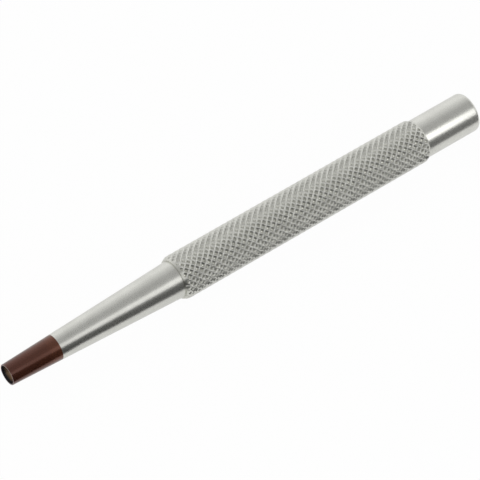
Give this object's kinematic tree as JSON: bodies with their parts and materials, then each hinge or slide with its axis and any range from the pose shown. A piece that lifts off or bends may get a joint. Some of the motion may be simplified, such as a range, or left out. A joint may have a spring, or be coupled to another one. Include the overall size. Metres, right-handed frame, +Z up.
{
  "type": "spoke head punch",
  "caption": "Round hand punch with a cupped brown tip, tapered shank, diamond-knurled grip and plain striking end, for tapping the heads of wheel spokes.",
  "frame": {"origin": "on the punch's axis, in the middle of the knurled grip, where the fingers hold it", "axes": "+X along the punch from the cupped tip to the striking end, +Z up when it lies on a bench"},
  "size_m": [0.12, 0.0098, 0.0098],
  "materials": {
    "tempered_tip": "bare steel with a brown temper colour, semi-gloss",
    "satin_shank": "satin plated steel",
    "knurled_grip": "satin plated steel, knurled",
    "polished_head": "bright plated steel, softly polished"
  },
  "bodies": {
    "root": {"cup_tip": "tempered_tip", "tapered_shank": "satin_shank", "knurled_grip": "knurled_grip", "striking_head": "polished_head"}
  },
  "joints": []
}
